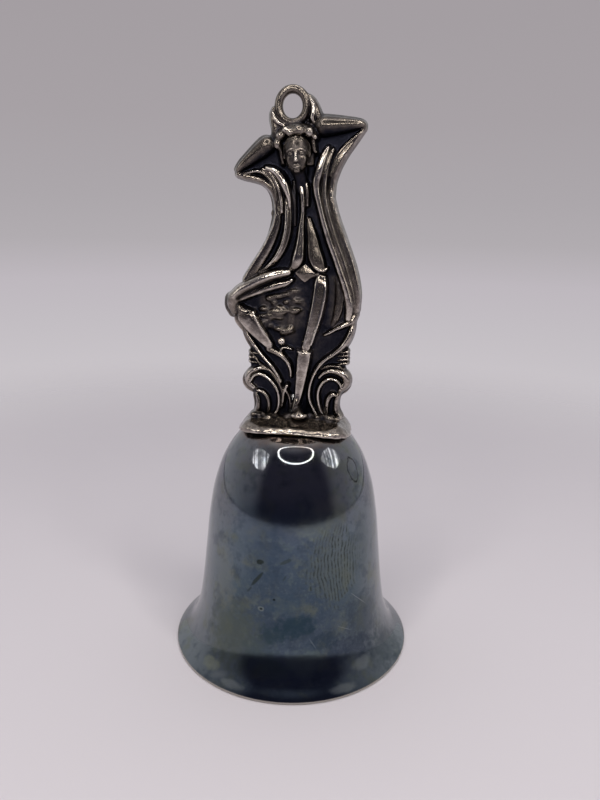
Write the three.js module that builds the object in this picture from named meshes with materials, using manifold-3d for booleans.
// A small silver-plated hand bell with a cast figure for its handle.
// Millimetres, +Z up. The origin is the centre of the rim's resting plane, and the figure faces -Y.
import * as THREE from "three";
import { mergeVertices } from "three/addons/utils/BufferGeometryUtils.js";
import Module from "manifold-3d";

// ---------- driving dimensions ----------

const BELL = {
  rimRadius: 25, // outer radius of the mouth
  crownZ: 47.25, // top of the flat crown
  crownRadius: 9, // outer radius of the flat crown
  wall: 1,
  lipWidth: 0.9, // width of the flat edge that the bell stands on
  sides: 48,
  steps: 13, // rows of faces between the lip and the crown
};
// Outer profile between the lip and the crown: radius, height.
const BELL_PROFILE = [
  [24.95, 0.4],
  [22.15, 3.2],
  [20.25, 7.6],
  [19.35, 12.5],
  [18.2, 23],
  [16.7, 34],
  [15.2, 39.5],
  [13.85, 42.5],
  [11.9, 45.7],
];

const STUD_RADIUS = 1.5; // threaded stud that holds the bell, the foot plate and the figure together
const STUD_CLEARANCE = 0.35;
const STUD_TOP_Z = 54;
const HOLE_RADIUS = STUD_RADIUS + STUD_CLEARANCE;

const CROWN_WASHER = { radius: 7.5, thickness: 0.5 };
const INNER_WASHER = { radius: 4.5, thickness: 0.75 };
const NUT = { acrossFlats: 6, thickness: 2.5 };

const EYE = { z: 40.25, ringRadius: 2, wire: 0.6 }; // ring at the bottom end of the stud
const WIRE_GAP = 0.1; // play between two wires that hook through each other
const LINK = { halfWidth: 1.7, pitch: 4.4, wire: 0.55 };
const SHANK = { ringRadius: 1.9, wire: 0.55, radius: 0.8 };
const BALL = { z: 9.5, radius: 4.5, boreRadius: 1.15 };

const FIGURE_BASE_Z = 50; // joint between the foot plate and the figure
const FOOT = {
  underZ: 47.75,
  seatHalfWidth: 8.2, // flat part of the underside, which rests on the washer
  seatHalfDepth: 7.8,
  droop: 0.75, // how far the ends curve down at droopAt from the middle
  droopAt: 9.5,
  squareness: 2.8, // 2 is an ellipse
};
// Foot plate sections from its lower edge up: half width, half depth, height.
const FOOT_SECTIONS = [
  [10.8, 8.4, 47.75],
  [10.95, 8.55, 48.2],
  [10.5, 8, 48.55],
  [9.7, 6.7, 49.1],
  [8.9, 4.9, 49.7],
];
const FOOT_TOP = { halfWidth: 8.4, halfDepth: 3.9 };

const COLOURS = {
  casting: 0x8f8a82, // antique silver plate, dark in its hollows
  shell: 0x76797b, // tarnished silver plate
  brass: 0xa08a5a,
  steel: 0x8a8c8e,
};

// ---------- the cast figure ----------
// A rod-like form is a list of points x, y, z, radius. A flat form is an outline in x, z with its
// front and back y.

const ROD_FORMS = {
  forearm_right: [
    [3.9, -0.8, 104.9, 0.9], [5.4, -1, 105.15, 0.95], [8.4, -1, 105.05, 0.9],
    [10.8, -0.7, 104.75, 0.8], [11.55, -0.5, 104.5, 0.5],
  ],
  upper_arm_right: [
    [11.4, -0.4, 103.9, 0.5], [10.3, -0.7, 102.4, 0.65], [8.5, -0.9, 100.1, 0.7],
    [6.8, -1, 97.3, 0.65], [5.8, -1, 94, 0.6],
  ],
  forearm_left: [
    [-5.6, -0.9, 101.2, 0.85], [-7.1, -1, 100, 0.85], [-9, -0.9, 97.9, 0.8],
    [-10.4, -0.7, 96.4, 0.7], [-10.9, -0.5, 95.8, 0.5],
  ],
  upper_arm_left: [
    [-10.8, -0.5, 95.5, 0.5], [-8.8, -0.8, 95.2, 0.55], [-6.8, -0.9, 94.9, 0.6],
    [-5, -1, 93.8, 0.6], [-3.9, -1, 92.2, 0.6],
  ],
  shoulder_ridge_left: [
    [-5, -1.8, 97.1, 0.5], [-3.5, -2.3, 96.1, 0.65], [-2.6, -2.6, 94.6, 0.65],
    [-1.9, -2.7, 92.6, 0.55], [-1.4, -2.6, 89.5, 0.4],
  ],
  lapel_ridge_right: [
    [5.3, -2, 100.1, 0.45], [4.3, -2.4, 98.6, 0.55], [3.6, -2.6, 95.4, 0.55],
    [3.9, -2.6, 92, 0.5], [4.9, -2.5, 88.2, 0.45], [6.4, -2.3, 83.6, 0.45],
    [8.4, -2.1, 78.2, 0.45], [9.8, -1.9, 73.4, 0.45], [9.7, -1.8, 69.8, 0.4],
  ],
  coat_edge_right: [
    [6, -1.1, 94.6, 0.6], [5.8, -1.2, 92, 0.6], [7.2, -1.1, 87, 0.65],
    [9.2, -1, 82, 0.75], [10.7, -0.9, 77, 0.8], [11.3, -0.8, 73.2, 0.8],
    [10.9, -0.8, 70.2, 0.7], [10.3, -0.8, 69.2, 0.5],
  ],
  coat_edge_left: [
    [-3.8, -1, 92, 0.55], [-3.6, -1, 89.5, 0.6], [-4.2, -1, 86.4, 0.65],
    [-5.9, -1, 82.9, 0.75], [-8.2, -1, 79.2, 0.8], [-9.6, -1, 76.6, 0.7],
  ],
  thigh_raised: [
    [-1.4, -2.3, 77.4, 0.9], [-4.2, -2.7, 76.2, 1.15], [-8, -2.7, 74.6, 1.3],
    [-11, -2, 73.1, 1.5], [-11.9, -1.5, 72.4, 1.3],
  ],
  shin_raised: [
    [-11.6, -1.5, 71.6, 1.3], [-10.1, -1.7, 69.9, 1.25], [-7.3, -1.9, 66.6, 1.1],
    [-4.9, -1.9, 63.7, 0.7],
  ],
  shoe_raised: [
    [-5.2, -1.7, 63.7, 0.6], [-3.3, -1.9, 62.5, 0.65], [-1.6, -1.9, 61, 0.5],
    [-0.9, -1.7, 58.6, 0.3],
  ],
  leg_standing: [
    [4.7, -2.2, 77.5, 0.9], [4.5, -2.6, 74, 0.95], [3.9, -2.8, 69.8, 0.9],
    [3, -2.8, 66.4, 0.85], [1.9, -2.8, 62.8, 0.95], [1.5, -2.8, 59, 0.95],
    [1, -2.8, 55, 0.8], [0.7, -3.2, 52.4, 0.85], [0.75, -4.2, 50.9, 0.8],
  ],
  stem_right: [
    [10.8, -1, 68.4, 0.4], [10.6, -1.2, 66.6, 0.45], [9.2, -1.5, 64.2, 0.5],
    [7, -1.8, 62, 0.5], [4.6, -2, 59.8, 0.5], [3.2, -2, 57, 0.5], [3.3, -2, 53.6, 0.5],
    [4, -2, 50.6, 0.5],
  ],
  stem_left: [
    [-10, -1, 67.6, 0.4], [-8.6, -1.4, 65, 0.45], [-6.2, -1.7, 61.9, 0.5],
    [-3.9, -1.9, 59.7, 0.5], [-2.8, -1.9, 57, 0.5], [-3, -1.9, 53.6, 0.5],
    [-3.8, -1.9, 50.6, 0.5],
  ],
  lock_right: [
    [1.2, -0.2, 109.2, 0.35], [2.3, -0.3, 108.2, 0.65], [2.8, -0.4, 106.6, 0.75],
    [3.1, -0.5, 105, 0.75],
  ],
  lock_left: [
    [-4.5, -0.4, 106.8, 0.3], [-4.6, -0.5, 105.4, 0.6], [-4, -0.7, 104.2, 0.65],
    [-2.4, -0.9, 103.7, 0.5],
  ],
  neck: [[0, -1.6, 97.2, 1.4], [0.3, -1.1, 94.4, 1.7]],
};

const FLAT_FORMS = {
  sleeve_right: {
    front: -0.3, back: 1.9,
    outline: [
      [3, 104.8], [11.3, 104.4], [11.5, 103.4], [9.8, 101.2], [7.9, 98.8], [6.4, 95.8],
      [5.8, 93.4], [1.5, 93.4], [1.5, 101],
    ],
  },
  sleeve_left: {
    front: -0.3, back: 1.9,
    outline: [
      [-5, 101.8], [-6.8, 100.4], [-8.8, 98.4], [-10.8, 96], [-9, 95.1], [-6.6, 94.7],
      [-4.4, 93.2], [1.5, 93.4], [1.5, 101],
    ],
  },
  hair_mass: {
    front: -1.5, back: 2.2,
    outline: [
      [-4.6, 105.2], [-4.4, 101.4], [-3, 98.4], [2.6, 98.4], [3.4, 101.4], [3.6, 105.6],
      [1, 105.2], [-2.8, 104.8],
    ],
  },
  coat: {
    front: -1.2, back: 2.2,
    outline: [
      [-3.8, 93.6], [-3.7, 89.6], [-4.4, 86.2], [-6.2, 82.8], [-8.4, 79.3], [-9.9, 76.4],
      [-6, 74.8], [0, 74], [5.6, 68], [8, 67.6], [10.6, 69], [11.5, 72.6], [11.1, 76.4],
      [9.8, 81], [7.7, 86.3], [6.1, 91], [5.9, 94],
    ],
  },
  coat_front: {
    front: -2.4, back: -1,
    outline: [
      [-1.2, 94.4], [-1.1, 88], [-1.4, 83], [-1.5, 79], [0.2, 78.8], [1.4, 80.4],
      [3.2, 79], [5.4, 78.6], [5.2, 83.4], [4.2, 88.4], [3.4, 94.4],
    ],
  },
  skirt_lining: {
    front: -0.9, back: 1.7,
    outline: [
      [-10.6, 71.4], [-9.8, 67.4], [-8.4, 64.2], [-8, 50], [8.2, 50], [8.8, 63], [10.5, 67.4],
      [6, 75], [-6, 75.4],
    ],
  },
  leaf_right: {
    front: -1.3, back: 1.5,
    outline: [
      [8.6, 64.4], [9.9, 63.6], [10.3, 62], [9.9, 60.4], [10.9, 58.8], [10.9, 57], [9.6, 55.2],
      [8.7, 53.2], [8.8, 50], [3.4, 50], [3.4, 58.4], [5.6, 61.4],
    ],
  },
  leaf_left: {
    front: -1.3, back: 1.5,
    outline: [
      [-8.1, 63.8], [-9, 62.8], [-9.1, 61.2], [-8.8, 60], [-9.7, 58.6], [-9.5, 56.6],
      [-8.4, 55.4], [-7.8, 53.4], [-8.2, 50], [-3.2, 50], [-3, 58], [-5.4, 61.6],
    ],
  },
};

const HEAD = { centre: [-0.35, -2.4, 99.4], radii: [2.25, 2.4, 3.1] };
const RING = { centre: [-1.1, 0, 107.35], radius: 2.6, tube: 0.8, depthRatio: 1.15 };
const CURLS = { radius: 0.85, centres: [
  [-3.4, -1.6, 103], [-2.1, -1.9, 103.4], [-0.2, -2, 103.6], [1.7, -1.9, 103.4],
  [-3.7, -1.5, 101.3],
] };
const SHOE = { centre: [0.75, -4.5, 50.3], radii: [1.45, 1.1, 0.7] };

// ---------- solids ----------

const wasm = await Module();
wasm.setup();

function solidOf(geometry) {
  const bare = geometry.clone();
  bare.deleteAttribute("normal");
  bare.deleteAttribute("uv");
  const merged = mergeVertices(bare, 1e-4);
  return new wasm.Manifold(
    new wasm.Mesh({
      numProp: 3,
      vertProperties: new Float32Array(merged.attributes.position.array),
      triVerts: new Uint32Array(merged.index.array),
    }),
  );
}

function geometryOf(solid) {
  const mesh = solid.getMesh();
  const geometry = new THREE.BufferGeometry();
  geometry.setAttribute("position", new THREE.BufferAttribute(mesh.vertProperties, 3));
  geometry.setIndex(new THREE.BufferAttribute(mesh.triVerts, 1));
  geometry.computeVertexNormals();
  return geometry;
}

const joined = (geometries) => geometries.map(solidOf).reduce((a, b) => a.add(b));
const cut = (solid, geometry) => solid.subtract(solidOf(geometry));

// A closed solid through rings of points, each ring counter-clockwise seen from the end it leads to.
function loft(rings) {
  const sides = rings[0].length;
  const points = rings.flat();
  const index = [];
  for (let k = 0; k + 1 < rings.length; k++)
    for (let i = 0; i < sides; i++) {
      const a = k * sides + i;
      const b = k * sides + ((i + 1) % sides);
      index.push(a, b, b + sides, a, b + sides, a + sides);
    }
  const last = (rings.length - 1) * sides;
  for (let i = 1; i + 1 < sides; i++) {
    index.push(0, i + 1, i);
    index.push(last, last + i, last + i + 1);
  }
  return new THREE.BufferGeometry().setFromPoints(points).setIndex(index);
}

// A rod through points x, y, z, radius.
function rod(points, sides = 6, steps = 2) {
  const path = new THREE.CatmullRomCurve3(points.map(([x, y, z]) => new THREE.Vector3(x, y, z)));
  const count = (points.length - 1) * steps;
  const rings = [];
  for (let k = 0; k <= count; k++) {
    const t = k / count;
    const at = Math.min(Math.floor(t * (points.length - 1)), points.length - 2);
    const blend = t * (points.length - 1) - at;
    const radius = THREE.MathUtils.lerp(points[at][3], points[at + 1][3], blend);
    const centre = path.getPoint(t);
    const along = path.getTangent(t);
    const side = new THREE.Vector3(0, 1, 0).cross(along).normalize();
    const up = along.clone().cross(side);
    rings.push(
      Array.from({ length: sides }, (_, i) => {
        const angle = (2 * Math.PI * i) / sides;
        return centre
          .clone()
          .addScaledVector(side, radius * Math.cos(angle))
          .addScaledVector(up, radius * Math.sin(angle));
      }),
    );
  }
  return loft(rings);
}

// A plate whose outline lies in x, z, between a front and a back y.
function plate({ outline, front, back }) {
  const shape = new THREE.Shape(outline.map(([x, z]) => new THREE.Vector2(x, z)));
  const geometry = new THREE.ExtrudeGeometry(shape, { depth: back - front, bevelEnabled: false });
  geometry.rotateX(Math.PI / 2);
  geometry.translate(0, back, 0);
  return geometry;
}

function ball(centre, radii, across = 12, down = 7) {
  const geometry = new THREE.SphereGeometry(1, across, down);
  geometry.rotateX(Math.PI / 2);
  geometry.scale(...radii);
  geometry.translate(...centre);
  return geometry;
}

// A solid of revolution about Z from a closed profile of radius, height.
function turned(profile, sides) {
  const closed = [...profile, profile[0]].map(([r, z]) => new THREE.Vector2(r, z));
  return new THREE.LatheGeometry(closed, sides).rotateX(Math.PI / 2);
}

// A ring whose hole runs along Y, or along X when it is turned.
function wireRing(radius, wire, z, holeAlongX = false) {
  const geometry = new THREE.TorusGeometry(radius, wire, 8, 20);
  geometry.rotateX(Math.PI / 2);
  if (holeAlongX) geometry.rotateZ(Math.PI / 2);
  geometry.translate(0, 0, z);
  return geometry;
}

function bar(radius, fromZ, toZ, sides = 16) {
  const geometry = new THREE.CylinderGeometry(radius, radius, toZ - fromZ, sides);
  geometry.rotateX(Math.PI / 2);
  geometry.translate(0, 0, (fromZ + toZ) / 2);
  return geometry;
}

// ---------- sub-parts ----------

function bellShell() {
  const curve = new THREE.CatmullRomCurve3(
    [...BELL_PROFILE, [BELL.crownRadius, BELL.crownZ]].map(([r, z]) => new THREE.Vector3(r, 0, z)),
    false,
    "centripetal",
  );
  const outer = [];
  const inner = [];
  for (let k = 0; k <= BELL.steps; k++) {
    const t = k / BELL.steps;
    const p = curve.getPoint(t);
    const along = curve.getTangent(t);
    outer.push([p.x, p.z]);
    inner.push([p.x - BELL.wall * along.z, p.z + BELL.wall * along.x]);
  }
  const underCrown = BELL.crownZ - BELL.wall;
  const lipInner = BELL.rimRadius - 0.3 - BELL.lipWidth;
  const insideWall = inner.slice(1, -1).filter(([, z]) => z > 1 && z < underCrown - 0.3);
  const profile = [
    [lipInner, 0],
    [BELL.rimRadius - 0.3, 0],
    [BELL.rimRadius, 0.3],
    ...outer.slice(1, -1),
    [BELL.crownRadius, BELL.crownZ],
    [HOLE_RADIUS, BELL.crownZ],
    [HOLE_RADIUS, underCrown],
    [BELL.crownRadius - 0.6, underCrown],
    ...insideWall.reverse(),
  ];
  return turned(profile, BELL.sides);
}

function footPlate() {
  const sides = 36;
  const ring = (halfWidth, halfDepth, z, drooping) =>
    Array.from({ length: sides }, (_, i) => {
      const angle = (2 * Math.PI * i) / sides;
      const c = Math.cos(angle);
      const s = Math.sin(angle);
      const power = 2 / FOOT.squareness;
      const x = halfWidth * Math.sign(c) * Math.abs(c) ** power;
      const y = halfDepth * Math.sign(s) * Math.abs(s) ** power;
      const drop = drooping ? FOOT.droop * (x / FOOT.droopAt) ** 2 : 0;
      return new THREE.Vector3(x, y, z - drop);
    });
  const under = ring(FOOT.seatHalfWidth, FOOT.seatHalfDepth, FOOT.underZ, false);
  const sections = FOOT_SECTIONS.map(([a, b, z]) => ring(a, b, z, true));
  const top = ring(FOOT_TOP.halfWidth, FOOT_TOP.halfDepth, FIGURE_BASE_Z, false);
  const body = solidOf(loft([under, ...sections, top]));
  return geometryOf(cut(body, bar(HOLE_RADIUS, FOOT.underZ - 2, FIGURE_BASE_Z + 2)));
}

function suspensionRing() {
  const geometry = new THREE.TorusGeometry(RING.radius, RING.tube, 8, 20);
  geometry.rotateX(Math.PI / 2);
  geometry.scale(1, RING.depthRatio, 1);
  geometry.translate(...RING.centre);
  return geometry;
}

function handleFigure() {
  const forms = [
    ...Object.values(ROD_FORMS).map((points) => rod(points)),
    ...Object.values(FLAT_FORMS).map(plate),
    ball(HEAD.centre, HEAD.radii),
    ball(SHOE.centre, SHOE.radii),
    ...CURLS.centres.map((c) => ball(c, [CURLS.radius, CURLS.radius, CURLS.radius], 8, 5)),
    suspensionRing(),
  ];
  const belowBase = new THREE.BoxGeometry(60, 60, 20);
  belowBase.translate(0, 0, FIGURE_BASE_Z - 10);
  const bore = bar(HOLE_RADIUS, FIGURE_BASE_Z - 5, STUD_TOP_Z + 0.5);
  const base = bar(3.2, FIGURE_BASE_Z, STUD_TOP_Z + 2);
  return geometryOf(cut(cut(joined([...forms, base]), belowBase), bore));
}

function washer({ radius, thickness }, fromZ) {
  const toZ = fromZ + thickness;
  return turned(
    [[HOLE_RADIUS, fromZ], [radius, fromZ], [radius, toZ], [HOLE_RADIUS, toZ]],
    32,
  );
}

function lockNut(topZ) {
  const corner = NUT.acrossFlats / 2 / Math.cos(Math.PI / 6);
  const corners = Array.from({ length: 6 }, (_, i) => {
    const angle = (Math.PI / 3) * i;
    return new THREE.Vector2(corner * Math.cos(angle), corner * Math.sin(angle));
  });
  const hexagon = new THREE.Shape(corners);
  const hole = new THREE.Path().absarc(0, 0, HOLE_RADIUS, 0, 2 * Math.PI, true);
  hexagon.holes.push(hole);
  const geometry = new THREE.ExtrudeGeometry(hexagon, {
    depth: NUT.thickness,
    bevelEnabled: false,
    curveSegments: 16,
  });
  geometry.translate(0, 0, topZ - NUT.thickness);
  return geometry;
}

function eyeStud() {
  const shank = bar(STUD_RADIUS, EYE.z + EYE.ringRadius, STUD_TOP_Z);
  return geometryOf(joined([shank, wireRing(EYE.ringRadius, EYE.wire, EYE.z)]));
}

// The link hangs in the stud's eye, and the clapper's eye hangs in the link.
const LINK_PIVOT_Z = EYE.z - EYE.ringRadius + EYE.wire + LINK.wire + WIRE_GAP;
const CLAPPER_PIVOT_Z = LINK_PIVOT_Z - LINK.pitch + LINK.wire + SHANK.wire + WIRE_GAP;

function clapperLink() {
  const steps = 10;
  const straight = LINK.pitch / 2 - LINK.halfWidth;
  const middleZ = LINK_PIVOT_Z - LINK.pitch / 2;
  const rings = [];
  for (const end of [0, 1])
    for (let k = 0; k <= steps; k++) {
      const angle = Math.PI * (end + k / steps);
      const away = new THREE.Vector3(0, Math.cos(angle), Math.sin(angle));
      const centre = away.clone().multiplyScalar(LINK.halfWidth);
      centre.z += middleZ + (end ? -straight : straight);
      rings.push({ centre, away });
    }
  const sides = 8;
  const points = rings.flatMap(({ centre, away }) =>
    Array.from({ length: sides }, (_, i) => {
      const angle = (2 * Math.PI * i) / sides;
      const p = centre.clone().addScaledVector(away, LINK.wire * Math.cos(angle));
      p.x += LINK.wire * Math.sin(angle);
      return p;
    }),
  );
  const index = [];
  for (let k = 0; k < rings.length; k++)
    for (let i = 0; i < sides; i++) {
      const next = ((k + 1) % rings.length) * sides;
      const a = k * sides + i;
      const b = k * sides + ((i + 1) % sides);
      index.push(a, next + ((i + 1) % sides), b, a, next + i, next + ((i + 1) % sides));
    }
  return new THREE.BufferGeometry().setFromPoints(points).setIndex(index);
}

function clapperShank() {
  const ringZ = CLAPPER_PIVOT_Z - SHANK.ringRadius;
  const eye = wireRing(SHANK.ringRadius, SHANK.wire, ringZ);
  const lowEnd = BALL.z - BALL.radius;
  const stem = bar(SHANK.radius, lowEnd - 0.2, ringZ - SHANK.ringRadius);
  const shoulder = bar(1.4, BALL.z + BALL.radius + 0.1, BALL.z + BALL.radius + 0.9);
  const rivet = ball([0, 0, lowEnd - 0.2], [1.5, 1.5, 0.4], 12, 6);
  return geometryOf(joined([eye, stem, shoulder, rivet]));
}

function clapperBall() {
  const profile = [];
  const steps = 10;
  const edge = Math.asin(BALL.boreRadius / BALL.radius);
  for (let k = 0; k <= steps; k++) {
    const angle = -Math.PI / 2 + edge + ((Math.PI - 2 * edge) * k) / steps;
    profile.push([BALL.radius * Math.cos(angle), BALL.z + BALL.radius * Math.sin(angle)]);
  }
  return turned(profile, 20);
}

// ---------- assembly ----------

function mesh(name, geometry, colour, roughness, metalness = 1) {
  const material = new THREE.MeshStandardMaterial({ color: colour, roughness, metalness });
  const node = new THREE.Mesh(geometry, material);
  node.name = name;
  return node;
}

const underCrownZ = BELL.crownZ - BELL.wall;
const underWasherZ = underCrownZ - INNER_WASHER.thickness;

const handle = new THREE.Group();
handle.add(
  mesh("handle_figure", handleFigure(), COLOURS.casting, 0.35),
  mesh("foot_plate", footPlate(), COLOURS.casting, 0.4),
);

const bell = new THREE.Group();
bell.add(
  mesh("bell_shell", bellShell(), COLOURS.shell, 0.25),
  mesh("crown_washer", washer(CROWN_WASHER, BELL.crownZ), COLOURS.brass, 0.5),
  mesh("inner_washer", washer(INNER_WASHER, underWasherZ), COLOURS.brass, 0.5),
  mesh("lock_nut", lockNut(underWasherZ), COLOURS.brass, 0.4),
  mesh("eye_stud", eyeStud(), COLOURS.steel, 0.4),
);

const clapper = new THREE.Group();
clapper.add(
  mesh("clapper_link", clapperLink(), COLOURS.steel, 0.4),
  mesh("clapper_shank", clapperShank(), COLOURS.steel, 0.4),
  mesh("clapper_ball", clapperBall(), COLOURS.brass, 0.35),
);

const sanctusBell = new THREE.Group();
sanctusBell.add(handle, bell, clapper);

export default sanctusBell;
